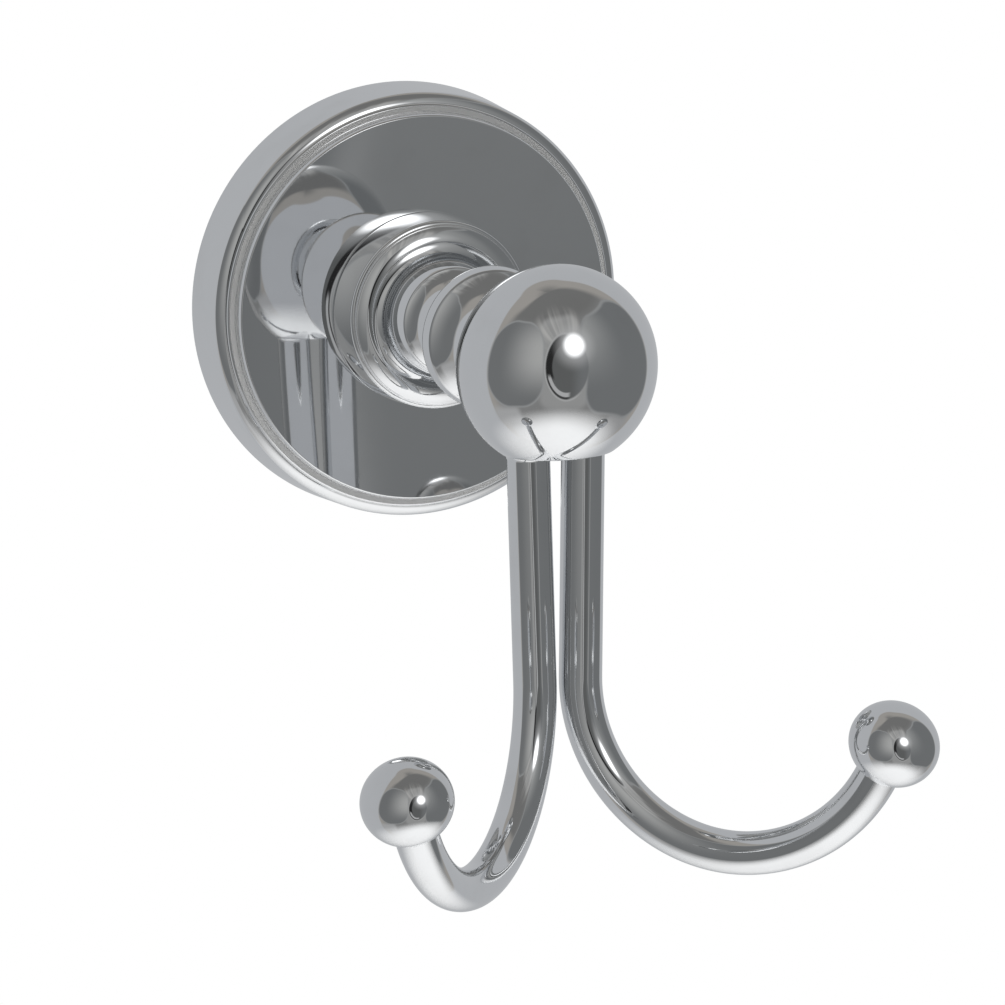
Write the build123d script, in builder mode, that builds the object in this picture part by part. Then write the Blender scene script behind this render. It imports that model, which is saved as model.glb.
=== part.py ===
"""Double robe hook: a round backplate, a turned post, a ball and two bent hook rods with tip balls.

The wall is the plane Y = 0 and the hook stands out from it towards -Y. The post's axis is the Y axis, +Z is up,
and the origin is the centre of the backplate's wall face. All sizes are in millimetres.
"""
import os
from math import cos, radians, sin, sqrt

from build123d import *

# Backplate: a hollow rosette with a stepped rim
plate_radius = 31.2
plate_draft = 0.5          # how much the side wall leans in from the wall to the shoulder
plate_side_height = 7.0    # wall to the top of the side wall
plate_wall = 2.4           # side wall thickness
plate_face_wall = 3.0      # face thickness
shoulder_width = 1.6       # rounded shoulder at the top of the side wall
shoulder_rise = 2.3
rim_land = 0.95            # sloping land inside the shoulder
rim_land_rise = 0.9
rim_step_width = 0.6       # small rounded step from the land up to the face
rim_step_rise = 1.0

# Post: base drum, two mouldings, neck, collar and the throat behind the ball
base_radius = 13.9
base_taper = 0.35          # how much the drum narrows towards the front
base_bulge = 0.09          # how far its side stands out from a straight line
base_height = 6.4          # drum height above the backplate's face
base_edge = 0.6            # rounding of the drum's edge
base_foot = 0.3            # rounding where the drum stands on the backplate
lip_width = 0.2            # small step between the drum and the next moulding
lip_rise = 0.3
ovolo_width = 2.1          # convex moulding on the drum
ovolo_rise = 0.9
ovolo_bulge = 0.16         # how far it stands out from a straight line
crease_depth = 1.2         # step down behind it
cove_width = 1.6           # sunk ring that rises a little to the bead
cove_rise = 0.55
cove_hollow = 0.1          # how deep it is hollowed below a straight line
bead_height = 4.8          # side of the bead
bead_taper = 1.3           # how much the bead narrows on that height
bead_bulge = 0.2           # how far its side stands out from a straight line
bead_round = 0.3           # rounding at the bead's front
bead_rise = 0.25
bead_round_bulge = 0.04
neck_radius = 5.0
neck_length = 13.3
neck_waist = 5.5           # from the bead to the narrowest place
collar_radius = 10.1
collar_width = 1.5
collar_taper = 0.45        # how much the collar narrows towards the front
collar_bulge = 0.07        # how far its side stands out from a straight line
throat_length = 13.0       # from the collar to the ball's seat
throat_radius = 6.6
throat_waist = 6.0         # from the collar to the narrowest place
seat_radius = 7.0          # where the post meets the ball

# Ball
ball_radius = 14.1
ball_half_length = 11.7    # along the post's axis
root_width = 0.5           # braze fillet round each rod, under the ball
root_height = 1.2
root_edge = 0.12           # its thickness at the lower edge
flat_margin = 0.12         # width left of the flat under the ball, outside the braze

# Hook rods, each bent in an upright plane turned out from straight ahead
rod_diameter = 6.0
rod_spacing = 8.1          # between the two rods' axes at the ball's flat
rod_setback = 1.0          # from the ball's centre towards the wall
hook_turn = 43.5           # degrees from straight ahead
shank_lean = 1.7           # degrees, the shank leans away from the tip
shank_length = 32.1        # below the ball's flat
bend_radius = 22.5
bend_angle = 97.5          # degrees
tail_radius = 24.3         # the bend opens out towards the tip
tail_angle = 55.0          # degrees
socket_depth = 7.5         # rod let into the ball
tip_radius = 6.3
tip_half_length = 5.7      # along the rod
tip_socket_past_centre = 1.5

# Fixings
thread_diameter = 6.0      # post screw and ball stud
stud_in_post = 10.0
stud_in_ball = 5.0
stud_chamfer = 0.5
screw_in_post = 9.0
screw_head_diameter = 10.5
screw_head_height = 3.3
screw_head_dome = 1.4      # rounded part of the head
screw_hex = 4.0            # across flats
screw_hex_depth = 2.0
washer_diameter = 11.8
washer_thickness = 1.2
set_screw_diameter = 4.0
set_screw_from_wall = 4.2
set_screw_recess = 0.5
set_screw_hex = 2.0        # across flats
set_screw_hex_depth = 1.6
bracket_clearance = 2.0    # between the bracket's rim and the backplate's inside
bracket_thickness = 1.8
bracket_height = 6.2
bracket_flare = 0.6        # how far the rim leans out from the wall to its front edge
bracket_opening = 15.0     # hole in the middle, round the post screw
wall_hole_diameter = 4.5
wall_hole_spacing = 32.0
fit_clearance = 0.05       # on the radius of screws, studs and rods in their holes
end_clearance = 0.2        # at the bottom of a blind hole

# Sizes that follow from those above
shoulder_radius = plate_radius - plate_draft
land_outer = shoulder_radius - shoulder_width
land_inner = land_outer - rim_land
shoulder_top = plate_side_height + shoulder_rise
land_depth = shoulder_top + rim_land_rise
plate_depth = land_depth + rim_step_rise
plate_inner_radius = shoulder_radius - plate_wall
plate_inner_depth = plate_depth - plate_face_wall
drum_top = plate_depth + base_height
drum_inner = base_radius - base_taper - base_edge
lip_inner = drum_inner - lip_width
lip_top = drum_top + lip_rise
ovolo_inner = lip_inner - ovolo_width
ovolo_top = lip_top + ovolo_rise
cove_inner = ovolo_inner - cove_width
cove_bottom = ovolo_top - crease_depth
cove_top = cove_bottom + cove_rise
bead_shoulder = cove_top + bead_height
bead_radius = cove_inner - bead_taper - bead_round
bead_front = bead_shoulder + bead_rise
collar_back = bead_front + neck_length
collar_front = collar_back + collar_width
seat_depth = collar_front + throat_length
ball_centre = seat_depth + ball_half_length * sqrt(1 - (seat_radius / ball_radius) ** 2)
rod_radius = rod_diameter / 2
socket_radius = rod_radius + fit_clearance
flat_half_width = rod_spacing / 2 + socket_radius + root_width + flat_margin
ball_flat_drop = sqrt(ball_radius ** 2 - flat_half_width ** 2)  # from the ball's centre down to the flat
thread_radius = thread_diameter / 2
set_screw_radius = set_screw_diameter / 2
bracket_radius = plate_inner_radius - bracket_clearance
hex_to_corner = 1 / sqrt(3)  # across flats to corner radius


def profile(radius, distance):
    """Point of a turned profile: its radius, and its distance from the wall."""
    return (radius, -distance)


def quarter_round(radius, distance, width, rise):
    """Convex quarter round of a turned profile, from an outer side to a front face."""
    EllipticalCenterArc(profile(radius, distance), width, rise, start_angle=270, arc_size=90)


def hollow(start, end, depth):
    """Hollow curve of a turned profile, so deep below the straight line between its ends."""
    SagittaArc(start, end, -depth)


def bulge(start, end, height):
    """Convex curve of a turned profile, so far out from the straight line between its ends."""
    SagittaArc(start, end, height)


def ball_point(turn):
    """Point of the ball's outline, so many degrees back from its widest place."""
    return profile(ball_radius * cos(radians(turn)), ball_centre - ball_half_length * sin(radians(turn)))


def across(distance):
    """Plane across the post's axis, facing away from the wall."""
    return Plane(origin=(0, -distance, 0), x_dir=(1, 0, 0), z_dir=(0, -1, 0))


def hook_plane(side):
    """Upright plane of one hook: its x runs out to the tip, its y is up, its origin is on the ball's flat."""
    out = Vector(side * sin(radians(hook_turn)), -cos(radians(hook_turn)), 0)
    start = (side * rod_spacing / 2, rod_setback - ball_centre, -ball_flat_drop)
    return Plane(origin=start, x_dir=out, z_dir=out.cross(Vector(0, 0, 1)))


def shank_point(distance):
    """Point of the shank's axis in its hook plane, so far below the ball's flat."""
    lean = radians(shank_lean)
    return (-distance * sin(lean), -distance * cos(lean))


def root_plane(side):
    """Plane of one hook with its y up along the shank's axis."""
    hook = hook_plane(side)
    start = hook.from_local_coords(shank_point(0))
    across_shank = hook.from_local_coords((cos(radians(shank_lean)), -sin(radians(shank_lean)))) - start
    return Plane(origin=start, x_dir=across_shank, z_dir=hook.z_dir)


# Backplate
with BuildPart() as backplate:
    with BuildSketch(Plane.XY):
        with BuildLine():
            Polyline(profile(0, plate_depth), profile(0, 0), profile(plate_radius, 0),
                     profile(shoulder_radius, plate_side_height))
            quarter_round(land_outer, plate_side_height, shoulder_width, shoulder_rise)
            Line(profile(land_outer, shoulder_top), profile(land_inner, land_depth))
            quarter_round(land_inner - rim_step_width, land_depth, rim_step_width, rim_step_rise)
            Line(profile(land_inner - rim_step_width, plate_depth), profile(0, plate_depth))
        make_face()
    revolve(axis=Axis.Y)
    with BuildSketch(across(0)):
        Circle(plate_inner_radius)
    extrude(amount=plate_inner_depth, mode=Mode.SUBTRACT)
    inner_corner = backplate.faces(Select.LAST).sort_by(Axis.Y)[0].edges()
    fillet(inner_corner, plate_wall / 2)
    with BuildSketch(across(plate_inner_depth)):
        Circle(thread_radius + fit_clearance)
    extrude(amount=plate_face_wall, mode=Mode.SUBTRACT)
    with BuildSketch(Plane(origin=(0, -set_screw_from_wall, 0), z_dir=(0, 0, -1))):
        Circle(set_screw_radius + fit_clearance)
    extrude(amount=plate_radius, mode=Mode.SUBTRACT)
backplate.part.label = "backplate"

# Post
with BuildPart() as post:
    with BuildSketch(Plane.XY):
        with BuildLine():
            Polyline(profile(0, seat_depth), profile(0, plate_depth),
                     profile(base_radius - base_foot, plate_depth))
            EllipticalCenterArc(profile(base_radius - base_foot, plate_depth + base_foot), base_foot, base_foot,
                                start_angle=0, arc_size=90)
            bulge(profile(base_radius, plate_depth + base_foot),
                  profile(base_radius - base_taper, drum_top - base_edge), base_bulge)
            quarter_round(drum_inner, drum_top - base_edge, base_edge, base_edge)
            quarter_round(lip_inner, drum_top, lip_width, lip_rise)
            bulge(profile(lip_inner, lip_top), profile(ovolo_inner, ovolo_top), ovolo_bulge)
            Line(profile(ovolo_inner, ovolo_top), profile(ovolo_inner, cove_bottom))
            hollow(profile(ovolo_inner, cove_bottom), profile(cove_inner, cove_top), cove_hollow)
            bulge(profile(cove_inner, cove_top), profile(cove_inner - bead_taper, bead_shoulder), bead_bulge)
            bulge(profile(cove_inner - bead_taper, bead_shoulder), profile(bead_radius, bead_front),
                  bead_round_bulge)
            Spline(profile(bead_radius, bead_front),
                   profile(neck_radius, bead_front + neck_waist),
                   profile(collar_radius, collar_back),
                   tangents=((-1, -0.6), (1, -0.6)))
            bulge(profile(collar_radius, collar_back), profile(collar_radius - collar_taper, collar_front),
                  collar_bulge)
            Spline(profile(collar_radius - collar_taper, collar_front),
                   profile(throat_radius, collar_front + throat_waist),
                   profile(seat_radius, seat_depth),
                   tangents=((-1, -1), (0.25, -1)))
            Line(profile(seat_radius, seat_depth), profile(0, seat_depth))
        make_face()
    revolve(axis=Axis.Y)
    with BuildSketch(across(plate_depth)):
        Circle(thread_radius + fit_clearance)
    extrude(amount=screw_in_post + end_clearance, mode=Mode.SUBTRACT)
    with BuildSketch(across(seat_depth)):
        Circle(thread_radius + fit_clearance)
    extrude(amount=-stud_in_post - end_clearance, mode=Mode.SUBTRACT)
post.part.label = "post"

# Ball, with its seat on the post, the flat underneath, and the braze and the socket of each rod
with BuildPart() as ball:
    with BuildSketch(Plane.XY):
        with BuildLine():
            outline = [ball_point(turn) for turn in range(-90, 91, 15)]
            Spline(*outline, tangents=((1, 0), (-1, 0)))
            Line(outline[-1], outline[0])
        make_face()
    revolve(axis=Axis.Y)
    with BuildSketch(across(seat_depth)):
        Circle(ball_radius)
    extrude(amount=-ball_half_length, mode=Mode.SUBTRACT)
    with BuildSketch(Plane.XY.offset(-ball_flat_drop)):
        with Locations(profile(0, ball_centre)):
            Rectangle(4 * ball_radius, 4 * ball_radius)
    extrude(amount=-ball_radius, mode=Mode.SUBTRACT)
    with BuildSketch(across(seat_depth)):
        Circle(thread_radius + fit_clearance)
    extrude(amount=stud_in_ball + end_clearance, mode=Mode.SUBTRACT)
    for side in (-1, 1):
        root = root_plane(side)
        with BuildSketch(root):
            with BuildLine():
                Polyline((socket_radius + root_edge, -root_height), (0, -root_height), (0, socket_depth / 2),
                         (socket_radius + root_width, socket_depth / 2), (socket_radius + root_width, 0))
                EllipticalCenterArc((socket_radius + root_width, -root_height), root_width - root_edge,
                                    root_height, start_angle=90, arc_size=90)
            make_face()
        revolve(axis=Axis(root.origin, root.y_dir))
        with BuildSketch(Plane(origin=root.from_local_coords((0, socket_depth)), z_dir=-root.y_dir)):
            Circle(socket_radius)
        extrude(amount=2 * ball_radius, mode=Mode.SUBTRACT)
ball.part.label = "ball"


def hook_route(side):
    """Axis of one hook rod, from its end in the ball to the centre of its tip ball."""
    with BuildLine(hook_plane(side)) as route:
        shank = Line(shank_point(end_clearance - socket_depth), shank_point(shank_length))
        bend = JernArc(shank @ 1, shank % 1, bend_radius, bend_angle)
        tail = JernArc(bend @ 1, bend % 1, tail_radius, tail_angle)
        Line(tail @ 1, tail @ 1 + (tail % 1) * tip_half_length)
    return route


def make_hook_rod(side):
    """Bent rod that runs on past the tip ball's centre, to the bottom of its socket."""
    route = hook_route(side)
    with BuildPart() as rod:
        with BuildSketch(Plane(origin=route.line @ 0, z_dir=route.line % 0)):
            Circle(rod_radius)
        sweep(path=route.wire())
        with BuildSketch(Plane(origin=route.line @ 1, z_dir=route.line % 1)):
            Circle(rod_radius)
        extrude(amount=tip_socket_past_centre)
    return rod


def make_tip_ball(side):
    """Small oblate ball on the end of a rod, drilled from the rod's side."""
    route = hook_route(side)
    centre, along = route.line @ 1, route.line % 1
    turning = Plane(origin=centre, x_dir=along, z_dir=hook_plane(side).z_dir)
    with BuildPart() as tip:
        with BuildSketch(turning):
            Ellipse(tip_half_length, tip_radius)
            Rectangle(2 * tip_half_length, tip_radius, align=(Align.CENTER, Align.MIN), mode=Mode.INTERSECT)
        revolve(axis=Axis(centre, along))
        with BuildSketch(Plane(origin=centre + along * (tip_socket_past_centre + end_clearance), z_dir=-along)):
            Circle(rod_radius + fit_clearance)
        extrude(amount=tip_socket_past_centre + 2 * tip_half_length, mode=Mode.SUBTRACT)
    return tip


# Wall bracket: a pressed cup whose rim leans out, so that the set screw draws the backplate to the wall
with BuildPart() as wall_bracket:
    rim_foot = bracket_radius - bracket_flare
    with BuildSketch(Plane.XY):
        with BuildLine():
            Polyline(profile(bracket_opening / 2, 0), profile(rim_foot, 0),
                     profile(bracket_radius, bracket_height),
                     profile(bracket_radius - bracket_thickness, bracket_height),
                     profile(rim_foot - bracket_thickness, bracket_thickness),
                     profile(bracket_opening / 2, bracket_thickness), close=True)
        make_face()
    revolve(axis=Axis.Y)
    with BuildSketch(across(0)):
        with GridLocations(wall_hole_spacing, 0, 2, 1):
            Circle(wall_hole_diameter / 2)
    extrude(amount=bracket_thickness, mode=Mode.SUBTRACT)
wall_bracket.part.label = "wall_bracket"

# Set screw, from under the rim
set_screw_bottom = shoulder_radius - set_screw_recess
with BuildPart() as set_screw:
    with BuildSketch(Plane(origin=(0, -set_screw_from_wall, -set_screw_bottom), z_dir=(0, 0, 1))):
        Circle(set_screw_radius)
    extrude(amount=set_screw_bottom - bracket_radius - fit_clearance)
    with BuildSketch(set_screw.faces().sort_by(Axis.Z)[0]):
        RegularPolygon(set_screw_hex * hex_to_corner, 6)
    extrude(amount=-set_screw_hex_depth, mode=Mode.SUBTRACT)
set_screw.part.label = "set_screw"

# Lock washer and post screw, inside the backplate
with BuildPart() as lock_washer:
    with BuildSketch(across(plate_inner_depth - washer_thickness)):
        Circle(washer_diameter / 2)
        Circle(thread_radius + fit_clearance, mode=Mode.SUBTRACT)
    extrude(amount=washer_thickness)
lock_washer.part.label = "lock_washer"

head_front = plate_inner_depth - washer_thickness
head_back = head_front - screw_head_height
with BuildPart() as post_screw:
    with BuildSketch(Plane.XY):
        with BuildLine():
            Polyline(profile(0, head_back), profile(0, plate_depth + screw_in_post),
                     profile(thread_radius, plate_depth + screw_in_post), profile(thread_radius, head_front),
                     profile(screw_head_diameter / 2, head_front),
                     profile(screw_head_diameter / 2, head_back + screw_head_dome))
            EllipticalCenterArc(profile(screw_head_diameter / 4, head_back + screw_head_dome),
                                screw_head_diameter / 4, screw_head_dome, start_angle=0, arc_size=90)
            Line(profile(screw_head_diameter / 4, head_back), profile(0, head_back))
        make_face()
    revolve(axis=Axis.Y)
    with BuildSketch(across(head_back)):
        RegularPolygon(screw_hex * hex_to_corner, 6)
    extrude(amount=screw_hex_depth, mode=Mode.SUBTRACT)
post_screw.part.label = "post_screw"

# Stud between the post and the ball
with BuildPart() as ball_stud:
    with BuildSketch(across(seat_depth - stud_in_post)):
        Circle(thread_radius)
    extrude(amount=stud_in_post + stud_in_ball)
    chamfer(ball_stud.edges().filter_by(GeomType.CIRCLE), stud_chamfer)
ball_stud.part.label = "ball_stud"

left_hook_rod = make_hook_rod(-1)
left_hook_rod.part.label = "left_hook_rod"
right_hook_rod = make_hook_rod(1)
right_hook_rod.part.label = "right_hook_rod"
left_tip_ball = make_tip_ball(-1)
left_tip_ball.part.label = "left_tip_ball"
right_tip_ball = make_tip_ball(1)
right_tip_ball.part.label = "right_tip_ball"

os.makedirs("parts", exist_ok=True)
export_step(backplate.part, "parts/backplate.step")
export_step(post.part, "parts/post.step")
export_step(ball.part, "parts/ball.step")
export_step(left_hook_rod.part, "parts/left_hook_rod.step")
export_step(right_hook_rod.part, "parts/right_hook_rod.step")
export_step(left_tip_ball.part, "parts/left_tip_ball.step")
export_step(right_tip_ball.part, "parts/right_tip_ball.step")
export_step(wall_bracket.part, "parts/wall_bracket.step")
export_step(set_screw.part, "parts/set_screw.step")
export_step(lock_washer.part, "parts/lock_washer.step")
export_step(post_screw.part, "parts/post_screw.step")
export_step(ball_stud.part, "parts/ball_stud.step")
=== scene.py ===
"""Looks of the double robe hook: turned and bent chrome pieces over the solids, in a plain white studio."""
from math import asin, cos, degrees, hypot, pi, radians, sin, sqrt

import bmesh
import bpy
from mathutils import Matrix, Vector


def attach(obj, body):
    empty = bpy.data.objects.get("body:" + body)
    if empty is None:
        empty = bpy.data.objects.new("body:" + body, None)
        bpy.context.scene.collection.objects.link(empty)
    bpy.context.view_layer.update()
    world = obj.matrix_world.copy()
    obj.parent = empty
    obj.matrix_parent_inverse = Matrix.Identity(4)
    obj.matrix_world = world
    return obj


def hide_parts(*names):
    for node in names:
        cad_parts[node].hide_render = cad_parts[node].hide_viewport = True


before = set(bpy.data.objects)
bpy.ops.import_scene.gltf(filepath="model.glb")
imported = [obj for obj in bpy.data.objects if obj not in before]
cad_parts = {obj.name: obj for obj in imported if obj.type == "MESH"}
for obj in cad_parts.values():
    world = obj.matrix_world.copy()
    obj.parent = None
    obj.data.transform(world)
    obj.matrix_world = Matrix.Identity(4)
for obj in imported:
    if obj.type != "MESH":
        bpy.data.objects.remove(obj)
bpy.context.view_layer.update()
bpy.context.scene.view_settings.view_transform = "Standard"

MM = 0.001

# Backplate, in millimetres: radii from the post's axis, distances from the wall
plate_radius = 31.2
plate_draft = 0.5
plate_side_height = 8.2
plate_wall = 2.4
plate_face_wall = 3.0
shoulder_width = 1.45
shoulder_rise = 1.0
shoulder_bulge = 0.19
rim_bead_width = 0.35
rim_bead_rise = 0.4
rim_bead_bulge = 0.06
rim_land = 0.85
rim_step_width = 0.5
rim_step_rise = 1.6
screw_hole = 3.05
set_screw_from_wall = 4.2
set_screw_hole = 2.05
drill_length = 6.0
drill_sides = 48
sharp_angle = 40.0

# Post
base_radius = 13.9
base_taper = 0.35
base_bulge = 0.09
base_height = 6.4
base_edge = 0.6
base_foot = 0.3
lip_width = 0.2
lip_rise = 0.3
ovolo_width = 2.1
ovolo_rise = 0.9
ovolo_bulge = 0.16
crease_depth = 1.2
cove_width = 1.6
cove_rise = 0.55
cove_hollow = 0.1
bead_height = 4.8
bead_taper = 1.3
bead_bulge = 0.2
bead_round = 0.3
bead_rise = 0.25
bead_round_bulge = 0.04
neck_radius = 5.0
neck_length = 13.3
neck_waist = 5.5
collar_radius = 10.1
collar_width = 1.5
collar_taper = 0.45
collar_bulge = 0.07
throat_length = 13.0
throat_radius = 5.4
throat_waist = 6.5
throat_end = 5.9

# Ball, rods and tip balls: angles in degrees
seat_radius = 7.0
seat_inset = 0.05
ball_radius = 14.1
ball_half_length = 11.7
ball_flat_rounding = 0.25
flat_margin = 0.12
socket_radius = 3.05
socket_depth = 7.3
braze_width = 0.5
braze_height = 0.9
braze_sunk = 1.0
braze_bite = 0.02
rod_radius = 2.995
rod_sides = 64
rod_spacing = 8.1
rod_setback = 1.0
hook_turn = 43.5
shank_lean = 1.7
shank_length = 32.1
shank_parts = 24
bend_radius = 22.5
bend_angle = 97.5
tail_radius = 24.3
tail_angle = 55.0
tip_radius = 6.295
tip_half_length = 5.7
tip_socket_past_centre = 1.5
tip_socket_play = 0.2
tip_mouth_lip = 0.05

# Sizes that follow from these
shoulder_top = plate_side_height + shoulder_rise
land_depth = shoulder_top + rim_bead_rise
plate_depth = land_depth + rim_step_rise
shoulder_inner = plate_radius - plate_draft - shoulder_width
land_outer = shoulder_inner - rim_bead_width
land_inner = land_outer - rim_land
face_radius = land_inner - rim_step_width
drum_top = plate_depth + base_height
drum_inner = base_radius - base_taper - base_edge
ovolo_inner = drum_inner - lip_width - ovolo_width
ovolo_top = drum_top + lip_rise + ovolo_rise
cove_inner = ovolo_inner - cove_width
cove_bottom = ovolo_top - crease_depth
cove_top = cove_bottom + cove_rise
bead_radius = cove_inner - bead_taper - bead_round
bead_front = cove_top + bead_height + bead_rise
collar_back = bead_front + neck_length
collar_front = collar_back + collar_width
seat_depth = collar_front + throat_length
ball_centre = seat_depth + ball_half_length * sqrt(1 - (seat_radius / ball_radius) ** 2)
flat_half_width = rod_spacing / 2 + socket_radius + braze_width + flat_margin
ball_flat_drop = sqrt(ball_radius ** 2 - flat_half_width ** 2)

# Finishes: colours, and heights in metres
chrome_bright = (0.790, 0.800, 0.812)
chrome_hazed = (0.742, 0.750, 0.758)
chrome_ripple = 0.0000022
drawing_stretch = (1.0, 1.0, 0.05)
satin_tint = (0.97, 0.968, 0.962)
satin_roughness = 0.55
satin_edge = 0.05
satin_starts_behind = 0.25
satin_full_behind = 0.1
crown_fall = 475.0
crown_upward = 0.35
zinc_blue = (0.56, 0.58, 0.61)
zinc_straw = (0.62, 0.60, 0.54)
zinc_worn = (0.44, 0.45, 0.46)
spangle_height = 0.00002

# Studio, in metres
dome_radius = 1.0
floor_radius = 0.42
floor_sides = 96
floor_level = -0.25
floor_forward = 0.06
floor_pale = (0.86, 0.86, 0.855)
floor_paler = (0.89, 0.89, 0.888)
clear_width = 0.28
clear_length = 0.32
clear_forward = 0.13
soft_light_size = 0.7
soft_light_watts = 9.0
soft_light_place = (0.1, -0.35, 0.75)
soft_light_aim = (0, -0.06, -0.1)
world_fill = 0.55

# What the dome shows to the metal: angles in degrees, and shades
tent_turn = 3.5
folds_azimuth = 2.0
folds_elevation = 12.0
hoop_azimuth = 0.4
hoop_elevation = 4.0
hoop_half_width = 21.3
hoop_half_height = 31.0
lamp_azimuth = 9.8
lamp_elevation = 22.8
room = (0.245, 0.245, 0.242)
ceiling = (0.185, 0.184, 0.180)
table_glow = (0.50, 0.51, 0.52)
tent_edge = (0.37, 0.352, 0.328)
tent_cloth = (0.49, 0.50, 0.515)
lit_cloth = (0.56, 0.55, 0.53)
left_foot = (0.42, 0.42, 0.42)
right_foot = (0.34, 0.34, 0.34)
front_gap = (0.33, 0.33, 0.325)
left_panel_edge = (0.33, 0.335, 0.335)
left_panel_dark = (0.180, 0.185, 0.187)
left_panel_light = (0.44, 0.44, 0.43)
right_panel_edge = (0.30, 0.305, 0.305)
right_panel_dark = (0.178, 0.184, 0.187)
right_panel_light = (0.36, 0.365, 0.36)
hoop_edge = (0.43, 0.43, 0.425)
hoop_dark = (0.125, 0.128, 0.127)
hoop_black = 0.025
hoop_glint = 0.46
hoop_line = 0.06
lamp_halo = 0.55
lamp_white = 2.6

# Camera: angles in degrees, distance in metres, focus and places in pixels of the picture
camera_azimuth = 22.11
camera_elevation = 10.86
camera_roll = 1.03
camera_distance = 0.9
camera_focus = 6613.2
picture_size = 1005
ball_across = 556.8
ball_down = 366.5
sensor_width = 36.0


class Wire:
    """One value in a node tree: sums on it add Math nodes, and node() adds a node of any other kind."""

    def __init__(self, tree, socket=None):
        self.tree = tree
        self.socket = socket

    def node(self, kind, settings=None, values=None, out=0):
        """New node with its settings and inputs; gives one of its outputs."""
        made = self.tree.nodes.new(kind)
        for name, setting in (settings or {}).items():
            setattr(made, name, setting)
        for name, value in (values or {}).items():
            if isinstance(value, Wire):
                self.tree.links.new(value.socket, made.inputs[name])
            else:
                made.inputs[name].default_value = value
        return Wire(self.tree, made.outputs[out] if made.outputs else None)

    def other(self, out):
        """Another output of the same node."""
        return Wire(self.tree, self.socket.node.outputs[out])

    def maths(self, operation, *terms):
        """Math node with this value as its first term."""
        return self.node("ShaderNodeMath", {"operation": operation}, dict(enumerate((self, *terms))))

    def __add__(self, term):
        return self.maths("ADD", term)

    __radd__ = __add__

    def __sub__(self, term):
        return self.maths("SUBTRACT", term)

    def __rsub__(self, term):
        return self.node("ShaderNodeMath", {"operation": "SUBTRACT"}, {0: term, 1: self})

    def __mul__(self, term):
        return self.maths("MULTIPLY", term)

    __rmul__ = __mul__

    def __truediv__(self, term):
        return self.maths("DIVIDE", term)

    def __rtruediv__(self, term):
        return self.node("ShaderNodeMath", {"operation": "DIVIDE"}, {0: term, 1: self})

    def __pow__(self, term):
        return self.maths("POWER", term)

    def __neg__(self):
        return self * -1.0

    def smooth_from(self, low, high):
        """Soft step from 0 at one value to 1 at the other."""
        return self.node("ShaderNodeMapRange", {"interpolation_type": "SMOOTHSTEP"},
                         {"Value": self, "From Min": low, "From Max": high})

    def xyz(self):
        """The three parts of a vector."""
        parts = self.node("ShaderNodeSeparateXYZ", None, {0: self})
        return [parts.other(axis) for axis in range(3)]


def length(a, b):
    """Length of two steps at right angles."""
    return (a * a + b * b) ** 0.5


def rgba(shade):
    """Colour or grey as four numbers; a wire stays as it is."""
    if isinstance(shade, Wire):
        return shade
    if isinstance(shade, tuple):
        return (*shade, 1.0)
    return (shade, shade, shade, 1.0)


def blend(cover, under, over):
    """One colour over another, by a cover from 0 to 1."""
    factor, first, second, colour_out = 0, 6, 7, 2
    return cover.node("ShaderNodeMix", {"data_type": "RGBA"},
                      {factor: cover, first: rgba(under), second: rgba(over)}, colour_out)


def noise(where, scale, detail, roughness=0.5):
    return where.node("ShaderNodeTexNoise", None,
                      {"Vector": where, "Scale": scale, "Detail": detail, "Roughness": roughness}, "Fac")


# Finishes


def new_finish(name):
    """Empty material, with a bench for its nodes and the place on the piece."""
    material = bpy.data.materials.new(name)
    material.use_nodes = True
    material.node_tree.nodes.clear()
    bench = Wire(material.node_tree)
    return material, bench, bench.node("ShaderNodeTexCoord", None, None, "Object")


def close_finish(bench, shader):
    bench.node("ShaderNodeOutputMaterial", None, {"Surface": shader})


def close_metal(bench, tint, gloss, relief):
    """Bare metal, with its tint, its roughness and the bumps of its surface."""
    surface = bench.node("ShaderNodeBump", None, relief)
    metal = {"Base Color": tint, "Metallic": 1.0, "Roughness": gloss, "Normal": surface}
    close_finish(bench, bench.node("ShaderNodeBsdfPrincipled", None, metal))


def satin_land(from_axis, from_wall):
    """Cover of the satin ring between the rim's bead and its step."""
    inside = from_axis.smooth_from(land_inner * MM, (land_inner + satin_edge) * MM)
    outside = from_axis.smooth_from((land_outer - satin_edge) * MM, land_outer * MM)
    front = from_wall.smooth_from((land_depth - satin_starts_behind) * MM,
                                  (land_depth - satin_full_behind) * MM)
    return inside * (1.0 - outside) * front


def crowned_face(x, z):
    """Slight crown of the backplate's face, which only its mirror images show."""
    bowed = x * x + z * z * crown_upward
    fall = bowed.maths("MINIMUM", (face_radius * MM) ** 2) ** 2.0 * -crown_fall
    return fall.node("ShaderNodeBump", None, {"Strength": 1.0, "Distance": 1.0, "Height": fall})


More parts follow.
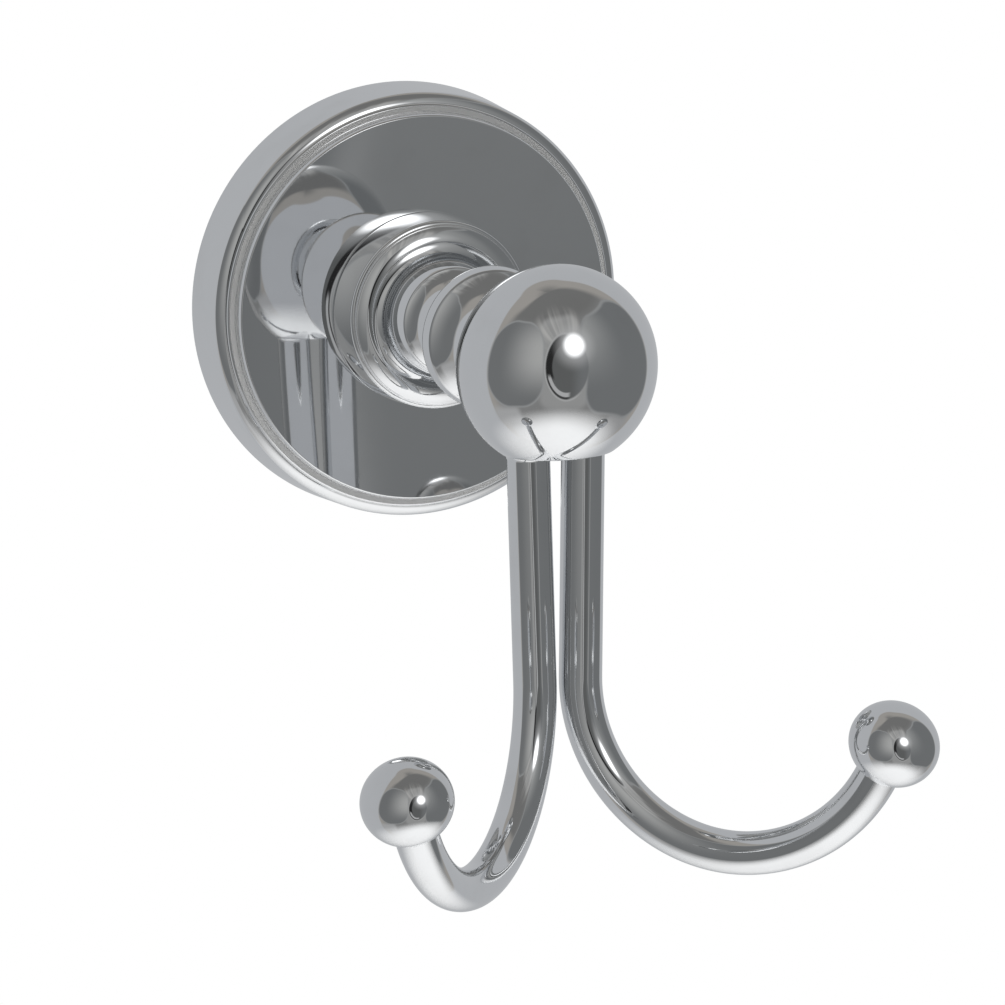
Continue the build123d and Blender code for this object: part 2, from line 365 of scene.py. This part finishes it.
def polished_chrome(name, turned=True, rosette=False):
    """Bright chrome with a faint ripple and handling haze, over turning rings or drawing lines."""
    material, bench, where = new_finish(name)
    x, y, z = where.xyz()
    if turned:
        lay = bench.node("ShaderNodeCombineXYZ", None, {0: length(x, z), 1: y})
    else:
        lay = bench.node("ShaderNodeVectorMath", {"operation": "MULTIPLY"}, {0: where, 1: drawing_stretch})
    haze = noise(where, scale=95.0, detail=4.0).smooth_from(0.52, 0.74)
    wiped = noise(where, scale=420.0, detail=2.0, roughness=0.6)
    grain = noise(lay, scale=6500.0, detail=1.0)
    ripple = noise(where, scale=150.0, detail=1.0) + grain * 0.012
    tint = blend(haze * 0.6 + wiped * 0.25, chrome_bright, chrome_hazed)
    gloss = 0.016 + haze * 0.030 + wiped * 0.012 + grain * 0.010
    relief = {"Strength": 1.0, "Distance": chrome_ripple, "Height": ripple}
    if rosette:
        land = satin_land(length(x, z), -y)
        tint = blend(land, tint, satin_tint)
        gloss = gloss + land * satin_roughness
        relief["Normal"] = crowned_face(x, z)
    close_metal(bench, tint, gloss, relief)
    return material


def dull_zinc(name):
    """Zinc-plated steel: spangled grey with a faint blue and straw cast, matt from handling."""
    material, bench, where = new_finish(name)
    spangle = bench.node("ShaderNodeTexVoronoi", None,
                         {"Vector": where, "Scale": 850.0, "Randomness": 1.0}, "Color")
    flake = spangle.xyz()[0]
    cast = noise(where, scale=60.0, detail=3.0).smooth_from(0.38, 0.62)
    scuff = noise(where, scale=700.0, detail=4.0, roughness=0.65).smooth_from(0.55, 0.75)
    worn = blend(scuff * 0.5 + flake * 0.25, blend(cast, zinc_blue, zinc_straw), zinc_worn)
    gloss = 0.30 + flake * 0.12 + scuff * 0.15
    relief = {"Strength": 0.5, "Distance": spangle_height, "Height": flake + scuff}
    close_metal(bench, worn, gloss, relief)
    return material


turned_chrome = polished_chrome("turned_chrome")
rosette_chrome = polished_chrome("rosette_chrome", rosette=True)
drawn_chrome = polished_chrome("drawn_chrome", turned=False)
zinc = dull_zinc("zinc_plate")


# Turned outlines: lists of (radius, distance) in millimetres


class Outline:
    """Outline of a turned piece, drawn from one end of its axis to the other."""

    def __init__(self, radius, distance):
        self.points = [(radius, distance)]

    def line(self, radius, distance, parts=6, hold=0.04):
        """Straight run, with a point close to each end so that the shading stays flat."""
        r0, d0 = self.points[-1]
        run = hypot(radius - r0, distance - d0)
        near = min(hold / run, 0.2)
        for share in [near] + [near + (1 - 2 * near) * k / parts for k in range(1, parts + 1)] + [1.0]:
            self.points.append((r0 + (radius - r0) * share, d0 + (distance - d0) * share))
        return self

    def over(self, width, rise, parts):
        """Quarter round that starts along the axis and ends in towards it."""
        r0, d0 = self.points[-1]
        for k in range(1, parts + 1):
            turn = pi / 2 * k / parts
            self.points.append((r0 - width + width * cos(turn), d0 + rise * sin(turn)))
        return self

    def foot(self, width, rise, parts):
        """Quarter round that starts across the axis and ends along it: a negative width runs inwards."""
        r0, d0 = self.points[-1]
        for k in range(1, parts + 1):
            turn = pi / 2 * k / parts
            self.points.append((r0 + width * sin(turn), d0 + rise - rise * cos(turn)))
        return self

    def hollow(self, radius, distance, depth, parts):
        """Hollow arc, so deep below the straight line between its ends: a negative depth bulges."""
        r0, d0 = self.points[-1]
        half = hypot(radius - r0, distance - d0) / 2
        arc = (half * half + depth * depth) / (2 * depth)
        along = ((radius - r0) / (2 * half), (distance - d0) / (2 * half))
        inward = (-along[1], along[0])
        reach = asin(half / arc)
        for k in range(1, parts + 1):
            turn = reach * (2 * k / parts - 1)
            a = half + arc * sin(turn)
            b = arc * cos(turn) - (arc - depth)
            self.points.append((r0 + along[0] * a + inward[0] * b, d0 + along[1] * a + inward[1] * b))
        return self

    def curve(self, waist, last, start, end, parts=48):
        """Smooth run through a waist to a last point, with the directions at its two ends."""
        p0, p1, p2 = Vector(self.points[-1]), Vector(waist), Vector(last)
        m0, m2 = Vector(start).normalized(), Vector(end).normalized()
        h0, h1 = (p1 - p0).length, (p2 - p1).length
        m1 = (3 * (h1 / h0 * (p1 - p0) + h0 / h1 * (p2 - p1)) - h1 * m0 - h0 * m2) / (2 * (h0 + h1))
        for a, b, ma, mb, h in ((p0, p1, m0, m1, h0), (p1, p2, m1, m2, h1)):
            for k in range(1, parts // 2 + 1):
                t = 2 * k / parts
                point = (a * (2 * t ** 3 - 3 * t ** 2 + 1) + ma * h * (t ** 3 - 2 * t ** 2 + t)
                         + b * (3 * t ** 2 - 2 * t ** 3) + mb * h * (t ** 3 - t ** 2))
                self.points.append((point[0], point[1]))
        return self

    def dome(self, radius, half_length, centre, first, parts):
        """Oblate ball's outline to its front, from a turn in degrees from its widest place."""
        for k in range(parts + 1):
            turn = radians(first + (90 - first) * k / parts)
            self.points.append((radius * cos(turn), centre + half_length * sin(turn)))
        return self


def backplate_outline():
    side_top = plate_radius - plate_draft
    inside = side_top - plate_wall
    inner_depth = plate_depth - plate_face_wall
    corner = plate_wall / 2
    o = Outline(screw_hole, inner_depth).line(inside - corner, inner_depth).foot(corner, -corner, 8)
    o.line(inside, 0).line(plate_radius, 0).line(side_top, plate_side_height, parts=12)
    o.hollow(shoulder_inner, shoulder_top, -shoulder_bulge, 24)
    o.hollow(land_outer, land_depth, -rim_bead_bulge, 8).line(land_inner, land_depth)
    o.over(rim_step_width, rim_step_rise, 12)
    o.line(screw_hole, plate_depth, parts=24).line(screw_hole, inner_depth)
    return o.points


def post_outline():
    o = Outline(0, plate_depth).line(base_radius - base_foot, plate_depth).foot(base_foot, base_foot, 6)
    o.hollow(base_radius - base_taper, drum_top - base_edge, -base_bulge, 16)
    o.over(base_edge, base_edge, 8).over(lip_width, lip_rise, 8)
    o.hollow(ovolo_inner, ovolo_top, -ovolo_bulge, 16).line(ovolo_inner, cove_bottom, parts=4)
    o.hollow(cove_inner, cove_top, cove_hollow, 16)
    o.hollow(cove_inner - bead_taper, cove_top + bead_height, -bead_bulge, 16)
    o.hollow(bead_radius, bead_front, -bead_round_bulge, 8)
    o.curve((neck_radius, bead_front + neck_waist), (collar_radius, collar_back), (-1, 0.6), (1, 0.6))
    o.hollow(collar_radius - collar_taper, collar_front, -collar_bulge, 10)
    o.curve((throat_radius, collar_front + throat_waist), (throat_end, seat_depth), (-1, 0.55), (0.2, 1))
    return o.line(0, seat_depth).points


def ball_outline():
    seat_turn = -degrees(asin((ball_centre - seat_depth) / ball_half_length))
    o = Outline(0, seat_depth).line(seat_radius - seat_inset, seat_depth)
    return o.dome(ball_radius, ball_half_length, ball_centre, seat_turn, 150).points


def braze_outline():
    """Braze fillet round a rod, from inside the ball down to the rod."""
    widest = socket_radius + braze_width
    narrowest = rod_radius - braze_bite
    o = Outline(narrowest, -braze_sunk).line(widest, -braze_sunk, parts=2).line(widest, 0.0, parts=2)
    return o.foot(narrowest - widest, braze_height, 14).line(narrowest, -braze_sunk, parts=2).points


def tip_outline():
    mouth_turn = -degrees(asin(sqrt(1 - (socket_radius / tip_radius) ** 2)))
    bottom = tip_socket_past_centre + tip_socket_play
    o = Outline(0, bottom).line(socket_radius, bottom)
    o.line(socket_radius, tip_half_length * sin(radians(mouth_turn)) + tip_mouth_lip)
    return o.dome(tip_radius, tip_half_length, 0, mouth_turn, 96).points


# Geometry node trees


def new_tree(name, inputs):
    """Geometry tree with named inputs; gives the tree, a bench and the inputs by name."""
    tree = bpy.data.node_groups.new(name, "GeometryNodeTree")
    tree.interface.new_socket("Geometry", in_out="INPUT", socket_type="NodeSocketGeometry")
    for label, kind in inputs.items():
        tree.interface.new_socket(label, in_out="INPUT", socket_type="NodeSocket" + kind)
    tree.interface.new_socket("Geometry", in_out="OUTPUT", socket_type="NodeSocketGeometry")
    bench = Wire(tree)
    first = bench.node("NodeGroupInput")
    return tree, bench, {label: first.other(label) for label in ["Geometry", *inputs]}


def close_tree(bench, shape, finish):
    smooth = bench.node("GeometryNodeSetShadeSmooth", None, {"Geometry": shape})
    real = bench.node("GeometryNodeRealizeInstances", None, {"Geometry": smooth})
    dressed = bench.node("GeometryNodeSetMaterial", None, {"Geometry": real, "Material": finish})
    bench.node("NodeGroupOutput", None, {"Geometry": dressed})


def lathe_tree():
    """Turns an outline about the Y axis: a grid with a row for each point and a column for each turn."""
    tree, bench, given = new_tree("lathe", {"Facets": "Int", "Flat Drop": "Float", "Flat Rounding": "Float",
                                            "Tilt": "Vector", "Place": "Vector", "Finish": "Material"})
    rounding_guard = 0.0001
    weld = 0.000001
    rows = bench.node("GeometryNodeAttributeDomainSize", None,
                      {"Geometry": given["Geometry"]}, "Point Count")
    columns = given["Facets"] + 1
    sheet = bench.node("GeometryNodeMeshGrid", None, {"Vertices X": rows, "Vertices Y": columns})
    index = bench.node("GeometryNodeInputIndex")
    row = (index / columns + rounding_guard).maths("FLOOR")
    turn = (index - row * columns) * (2 * pi) / given["Facets"]
    position = bench.node("GeometryNodeInputPosition")
    drawn = bench.node("GeometryNodeSampleIndex", {"data_type": "FLOAT_VECTOR"},
                       {"Geometry": given["Geometry"], "Value": position, "Index": row})
    radius, distance = drawn.xyz()[:2]
    x = radius * turn.maths("COSINE")
    z = radius * turn.maths("SINE")
    level = z.maths("SMOOTH_MAX", -given["Flat Drop"], given["Flat Rounding"])
    spot = bench.node("ShaderNodeCombineXYZ", None, {0: x, 1: -distance, 2: level})
    placed = bench.node("GeometryNodeSetPosition", None, {"Geometry": sheet, "Position": spot})
    closed = bench.node("GeometryNodeMergeByDistance", None, {"Geometry": placed, "Distance": weld})
    moved = bench.node("GeometryNodeTransform", None,
                       {"Geometry": closed, "Translation": given["Place"], "Rotation": given["Tilt"]})
    close_tree(bench, moved, given["Finish"])
    return tree


def bar_tree():
    """Round bar along a route."""
    tree, bench, given = new_tree("bent bar", {"Bar Radius": "Float", "Sides": "Int", "Finish": "Material"})
    section = bench.node("GeometryNodeCurvePrimitiveCircle", None,
                         {"Resolution": given["Sides"], "Radius": given["Bar Radius"]})
    bar = bench.node("GeometryNodeCurveToMesh", None,
                     {"Curve": given["Geometry"], "Profile Curve": section, "Fill Caps": True})
    close_tree(bench, bar, given["Finish"])
    return tree


def add_object(name, data):
    """New object in the scene."""
    made = bpy.data.objects.new(name, data)
    bpy.context.scene.collection.objects.link(made)
    return made


def finished_mesh(worked):
    """Plain mesh of an object as its modifiers leave it."""
    graph = bpy.context.evaluated_depsgraph_get()
    return bpy.data.meshes.new_from_object(worked.evaluated_get(graph))


def run_tree(name, data, tree, settings):
    """Runs a tree on a drawn outline or route, and gives the result as a plain mesh object."""
    drawn = add_object(name + "_drawn", data)
    modifier = drawn.modifiers.new("shape", "NODES")
    modifier.node_group = tree
    for item in tree.interface.items_tree:
        if item.in_out == "INPUT" and item.name in settings:
            modifier[item.identifier] = settings[item.name]
    mesh = finished_mesh(drawn)
    bpy.data.objects.remove(drawn)
    mesh.name = name
    return add_object(name, mesh)


lathe = lathe_tree()
bar = bar_tree()


# Pieces


def turn_piece(name, outline, facets, place=(0, 0, 0), tilt=(0, 0, 0), flat_drop=1.0, flat_rounding=0.0,
               finish=turned_chrome):
    """Turned piece from its outline in millimetres."""
    drawing = bpy.data.meshes.new(name + "_outline")
    drawing.from_pydata([(radius * MM, distance * MM, 0) for radius, distance in outline], [], [])
    return run_tree(name, drawing, lathe, {"Facets": facets, "Flat Drop": flat_drop,
                                           "Flat Rounding": flat_rounding, "Tilt": tilt, "Place": place,
                                           "Finish": finish})


def face_outwards(piece):
    """Turns a merged shell's faces outwards."""
    shell = bmesh.new()
    shell.from_mesh(piece.data)
    bmesh.ops.recalc_face_normals(shell, faces=shell.faces)
    shell.to_mesh(piece.data)
    shell.free()


def shade_smooth(mesh):
    for polygon in mesh.polygons:
        polygon.use_smooth = True


def tilt_to(direction):
    """Tilt that brings a turned piece's front round to a direction."""
    return Vector((0, -1, 0)).rotation_difference(direction).to_euler()


def rod_start(side):
    """Where a rod's axis meets the ball's flat, in millimetres."""
    return Vector((side * rod_spacing / 2, rod_setback - ball_centre, -ball_flat_drop))


def hook_route(side):
    """Points along one rod's axis in metres, the centre of its tip ball and the direction there."""
    out = Vector((side * sin(radians(hook_turn)), -cos(radians(hook_turn)), 0))
    lean = radians(shank_lean)
    heading = -pi / 2 - lean
    spots = []
    for k in range(shank_parts + 1):
        down = -socket_depth + (shank_length + socket_depth) * k / shank_parts
        spots.append(Vector((-down * sin(lean), -down * cos(lean))))
    for radius, angle in ((bend_radius, bend_angle), (tail_radius, tail_angle)):
        middle = spots[-1] + radius * Vector((-sin(heading), cos(heading)))
        parts = int(angle)
        for k in range(1, parts + 1):
            turn = heading + radians(angle) * k / parts
            spots.append(middle + radius * Vector((sin(turn), -cos(turn))))
        heading += radians(angle)
    along = Vector((cos(heading), sin(heading)))
    tip = spots[-1] + along * tip_half_length
    spots += [tip, tip + along * tip_socket_past_centre]

    def stand(flat):
        """Step in the hook's own plane, stood up in space."""
        return out * flat[0] + Vector((0, 0, flat[1]))

    points = [(rod_start(side) + stand(spot)) * MM for spot in spots]
    return points, points[-2], stand(along).normalized()


def bend_rod(name, side):
    points = hook_route(side)[0]
    route = bpy.data.curves.new(name + "_route", "CURVE")
    route.dimensions = "3D"
    line = route.splines.new("POLY")
    line.points.add(len(points) - 1)
    for spot, place in zip(line.points, points):
        spot.co = (*place, 1.0)
    return run_tree(name, route, bar, {"Bar Radius": rod_radius * MM, "Sides": rod_sides,
                                       "Finish": drawn_chrome})


def turn_tip_ball(name, side):
    tip, along = hook_route(side)[1:]
    return turn_piece(name, tip_outline(), facets=128, place=tip, tilt=tilt_to(along))


def drill_set_screw_hole(plate):
    """Hole for the set screw, through the underside of the backplate's rim."""
    drill = bmesh.new()
    bmesh.ops.create_cone(drill, cap_ends=True, segments=drill_sides, radius1=set_screw_hole * MM,
                          radius2=set_screw_hole * MM, depth=drill_length * MM,
                          matrix=Matrix.Translation((0, -set_screw_from_wall * MM, -plate_radius * MM)))
    drill_mesh = bpy.data.meshes.new("drill")
    drill.to_mesh(drill_mesh)
    drill.free()
    tool = add_object("drill", drill_mesh)
    cut = plate.modifiers.new("hole", "BOOLEAN")
    cut.operation = "DIFFERENCE"
    cut.solver = "EXACT"
    cut.object = tool
    drilled = finished_mesh(plate)
    plate.modifiers.clear()
    plate.data = drilled
    bpy.data.objects.remove(tool)
    shade_smooth(drilled)
    drilled.set_sharp_from_angle(angle=radians(sharp_angle))


def braze_rods(ball):
    """Small fillets of braze where the rods leave the ball, made one mesh with it."""
    joined = bmesh.new()
    joined.from_mesh(ball.data)
    for side in (-1, 1):
        points = hook_route(side)[0]
        down = (points[1] - points[0]).normalized()
        fillet = turn_piece("braze", braze_outline(), facets=96, place=rod_start(side) * MM,
                            tilt=tilt_to(down))
        face_outwards(fillet)
        joined.from_mesh(fillet.data)
        bpy.data.objects.remove(fillet)
    joined.to_mesh(ball.data)
    joined.free()


pieces = {
    "backplate": turn_piece("chrome_backplate", backplate_outline(), facets=256, finish=rosette_chrome),
    "post": turn_piece("chrome_post", post_outline(), facets=192),
    "ball": turn_piece("chrome_ball", ball_outline(), facets=288, flat_drop=ball_flat_drop * MM,
                       flat_rounding=ball_flat_rounding * MM),
    "left_hook_rod": bend_rod("chrome_left_rod", -1),
    "right_hook_rod": bend_rod("chrome_right_rod", 1),
    "left_tip_ball": turn_tip_ball("chrome_left_tip", -1),
    "right_tip_ball": turn_tip_ball("chrome_right_tip", 1),
}
for piece in pieces.values():
    face_outwards(piece)
drill_set_screw_hole(pieces["backplate"])
braze_rods(pieces["ball"])
for node, piece in pieces.items():
    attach(piece, "root")
    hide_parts(node)

for node in ("wall_bracket", "set_screw", "post_screw", "lock_washer", "ball_stud"):
    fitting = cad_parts[node]
    fitting.data.materials.clear()
    fitting.data.materials.append(zinc)


# Studio: a pale floor, a soft lamp, and a dome that only the metal sees


ball_place = Vector((0, -ball_centre * MM, 0))


def studio_light(name):
    """What the metal sees round it, by azimuth and elevation in degrees from the ball."""
    material, bench, where = new_finish(name)
    x, y, z = where.xyz()
    azimuth = x.maths("ARCTAN2", -y) * (180 / pi)
    elevation = (z / dome_radius).maths("ARCSINE") * (180 / pi)
    from_front = (azimuth - tent_turn).maths("ABSOLUTE")

    def patch(across, left, right, low, high, corner, soft):
        """Cover of a patch with round corners and soft edges, all in degrees."""
        out = (across - (left + right) / 2).maths("ABSOLUTE") - ((right - left) / 2 - corner)
        up = (elevation - (low + high) / 2).maths("ABSOLUTE") - ((high - low) / 2 - corner)
        beyond = length(out.maths("MAXIMUM", 0.0), up.maths("MAXIMUM", 0.0)) - corner
        return 1.0 - beyond.smooth_from(-soft, soft)

    def within(distance, near, far):
        """Cover that is full inside one distance and gone at the other."""
        return 1.0 - distance.smooth_from(near, far)

    def band(distance, inner, outer):
        """Cover between two soft edges of a hoop."""
        return distance.smooth_from(*inner) * within(distance, *outer)

    fan = (azimuth - folds_azimuth).maths("ARCTAN2", elevation - folds_elevation)
    folds = noise(bench.node("ShaderNodeCombineXYZ", None, {0: fan * 1.1}), scale=3.0, detail=2.0)
    above_lamp = within(length((azimuth + 4.0) / 44.0, (elevation - 44.0) / 30.0), 0.15, 1.0)
    left_lit = azimuth.smooth_from(-76.0, -24.0) * within((elevation - 18.0).maths("ABSOLUTE"), 4.0, 48.0)
    right_lit = azimuth.smooth_from(66.0, 18.0) * elevation.smooth_from(-22.0, 40.0)
    left_panel = blend(left_lit, left_panel_dark, left_panel_light)
    right_panel = blend(right_lit, right_panel_dark, right_panel_light)
    hoop = length((azimuth - hoop_azimuth) / hoop_half_width,
                  (elevation - hoop_elevation) / hoop_half_height)
    hoop_inside = blend(azimuth.smooth_from(2.0, 17.0), hoop_dark, right_panel_dark)
    hoop_left = azimuth.smooth_from(17.0, 8.0)
    hoop_upper = azimuth.smooth_from(-1.0, -6.0) * elevation.smooth_from(-9.0, -3.0)
    hoop_lower = azimuth.smooth_from(5.0, 1.0) * elevation.smooth_from(-1.0, -7.0)
    lamp = length(azimuth - lamp_azimuth, elevation - lamp_elevation)
    # Each row has a cover and its shade, and lies over the rows before it
    layers = [
        (elevation.smooth_from(40.0, 56.0), ceiling),
        (elevation.smooth_from(-48.0, -62.0), table_glow),
        (patch(from_front, 84.0, 282.0, -90.0, 82.0, 34.0, 9.0), tent_edge),
        (patch(azimuth, -150.0, -76.0, 56.0, 84.0, 12.0, 8.0), tent_edge),
        (patch(from_front, 95.5, 270.0, -120.0, 66.0, 42.0, 1.6), tent_cloth),
        (patch(azimuth, -93.0, -54.0, -52.0, -34.0, 6.0, 5.0), left_foot),
        (patch(azimuth, 58.0, 96.0, -58.0, -37.0, 6.0, 5.0), right_foot),
        (patch(azimuth, -27.0, 23.0, -36.0, 54.0, 10.0, 4.0), front_gap),
        (folds.smooth_from(0.40, 0.68) * above_lamp * 0.85, lit_cloth),
        (patch(azimuth, -91.5, -21.5, -34.5, 51.0, 27.0, 1.0), left_panel_edge),
        (patch(azimuth, -90.0, -23.0, -33.0, 49.5, 26.0, 1.4), left_panel),
        (patch(azimuth, 18.6, 98.5, -40.0, 47.0, 22.0, 1.0), right_panel_edge),
        (patch(azimuth, 20.0, 97.0, -38.0, 44.5, 21.0, 1.4), right_panel),
        (within(hoop, 1.02, 1.07) * hoop_left, hoop_edge),
        (within(hoop, 0.94, 1.02), hoop_inside),
        (band(hoop, (0.64, 0.70), (0.94, 0.98)) * hoop_upper, hoop_black),
        (band(hoop, (0.76, 0.80), (0.90, 0.93)) * hoop_lower, hoop_glint),
        (band(hoop, (0.90, 0.93), (0.97, 1.00)) * hoop_lower, hoop_line),
        (within(lamp, 6.0, 26.0) * 0.75, lamp_halo),
        (within(lamp, 3.5, 14.0), lamp_white),
    ]
    seen = room
    for cover, shade in layers:
        seen = blend(cover, seen, shade)
    close_finish(bench, bench.node("ShaderNodeEmission", None, {"Color": seen, "Strength": 1.0}))
    return material


def hang_dome():
    """Dome round the hook that only mirrors see."""
    mesh = bpy.data.meshes.new("studio_dome")
    shell = bmesh.new()
    bmesh.ops.create_uvsphere(shell, u_segments=96, v_segments=48, radius=dome_radius)
    shell.to_mesh(mesh)
    shell.free()
    shade_smooth(mesh)
    mesh.materials.append(studio_light("studio_dome"))
    dome = add_object("studio_dome", mesh)
    dome.location = ball_place
    dome.visible_camera = False
    dome.visible_diffuse = False
    dome.visible_shadow = False
    dome.visible_transmission = False
    return dome


def pale_floor(name):
    """Pale board, which mirrors see only at the edge so that it doesn't hide the dome."""
    material, bench, where = new_finish(name)
    x, y = where.xyz()[:2]
    paper = noise(where, scale=30.0, detail=4.0)
    board = bench.node("ShaderNodeBsdfPrincipled", None,
                       {"Base Color": blend(paper, floor_pale, floor_paler), "Roughness": 0.7 + paper * 0.1,
                        "Specular IOR Level": 0.2})
    from_middle = length(x / clear_width, (y + clear_forward) / clear_length)
    mirrored = bench.node("ShaderNodeLightPath", None, None, "Is Glossy Ray")
    clear = bench.node("ShaderNodeBsdfTransparent")
    close_finish(bench, bench.node("ShaderNodeMixShader", None,
                                   {0: mirrored * from_middle.smooth_from(0.25, 1.0), 1: board, 2: clear}))
    return material


def lay_floor():
    """Round pale floor under the hook."""
    edge = []
    for k in range(floor_sides):
        turn = 2 * pi * k / floor_sides
        edge.append((floor_radius * cos(turn), floor_radius * sin(turn) - floor_forward, floor_level))
    mesh = bpy.data.meshes.new("floor")
    mesh.from_pydata(edge, [], [list(range(floor_sides))])
    mesh.materials.append(pale_floor("pale_floor"))
    return add_object("floor", mesh)


def hang_soft_light():
    """Soft lamp overhead, which the metal doesn't mirror."""
    light = bpy.data.lights.new("soft_light", "AREA")
    light.size = soft_light_size
    light.energy = soft_light_watts
    overhead = add_object("soft_light", light)
    overhead.location = soft_light_place
    downward = Vector(soft_light_aim) - overhead.location
    overhead.rotation_euler = downward.to_track_quat("-Z", "Y").to_euler()
    overhead.visible_glossy = False
    overhead.visible_camera = False


def whiten_world():
    """White all round to the camera and in mirrors, and a gentler fill on the floor."""
    world = bpy.data.worlds.new("white_studio")
    bpy.context.scene.world = world
    world.use_nodes = True
    world.node_tree.nodes.clear()
    bench = Wire(world.node_tree)
    camera_ray = bench.node("ShaderNodeLightPath", None, None, "Is Camera Ray")
    shown = camera_ray.maths("MAXIMUM", camera_ray.other("Is Glossy Ray"))
    shown = shown.maths("MAXIMUM", camera_ray.other("Is Transmission Ray"))
    strength = world_fill + shown * (1.0 - world_fill)
    white = bench.node("ShaderNodeBackground", None, {"Color": (1, 1, 1, 1), "Strength": strength})
    bench.node("ShaderNodeOutputWorld", None, {"Surface": white})


def stand_camera():
    """Long lens from the left and a little above, turned a degree, with the ball at its own place."""
    azimuth, elevation, roll = radians(camera_azimuth), radians(camera_elevation), radians(camera_roll)
    level = Vector((cos(azimuth), -sin(azimuth), 0))
    to_ball = Vector((sin(azimuth) * cos(elevation), cos(azimuth) * cos(elevation), -sin(elevation)))
    upright = level.cross(to_ball)
    right = level * cos(roll) - upright * sin(roll)
    above = level * sin(roll) + upright * cos(roll)
    across = (picture_size / 2 - ball_across) / camera_focus
    upward = (picture_size / 2 - ball_down) / camera_focus
    ahead = (to_ball + right * across - above * upward).normalized()
    above = (above - ahead * above.dot(ahead)).normalized()
    lens = bpy.data.cameras.new("camera")
    lens.sensor_width = sensor_width
    lens.lens = sensor_width * camera_focus / picture_size
    lens.clip_start = 0.05
    lens.clip_end = 20.0
    camera = add_object("camera", lens)
    turn = Matrix((ahead.cross(above), above, -ahead)).transposed()
    camera.matrix_world = Matrix.Translation(ball_place - to_ball * camera_distance) @ turn.to_4x4()
    bpy.context.scene.camera = camera


dome = hang_dome()
floor = lay_floor()
hang_soft_light()
whiten_world()
stand_camera()
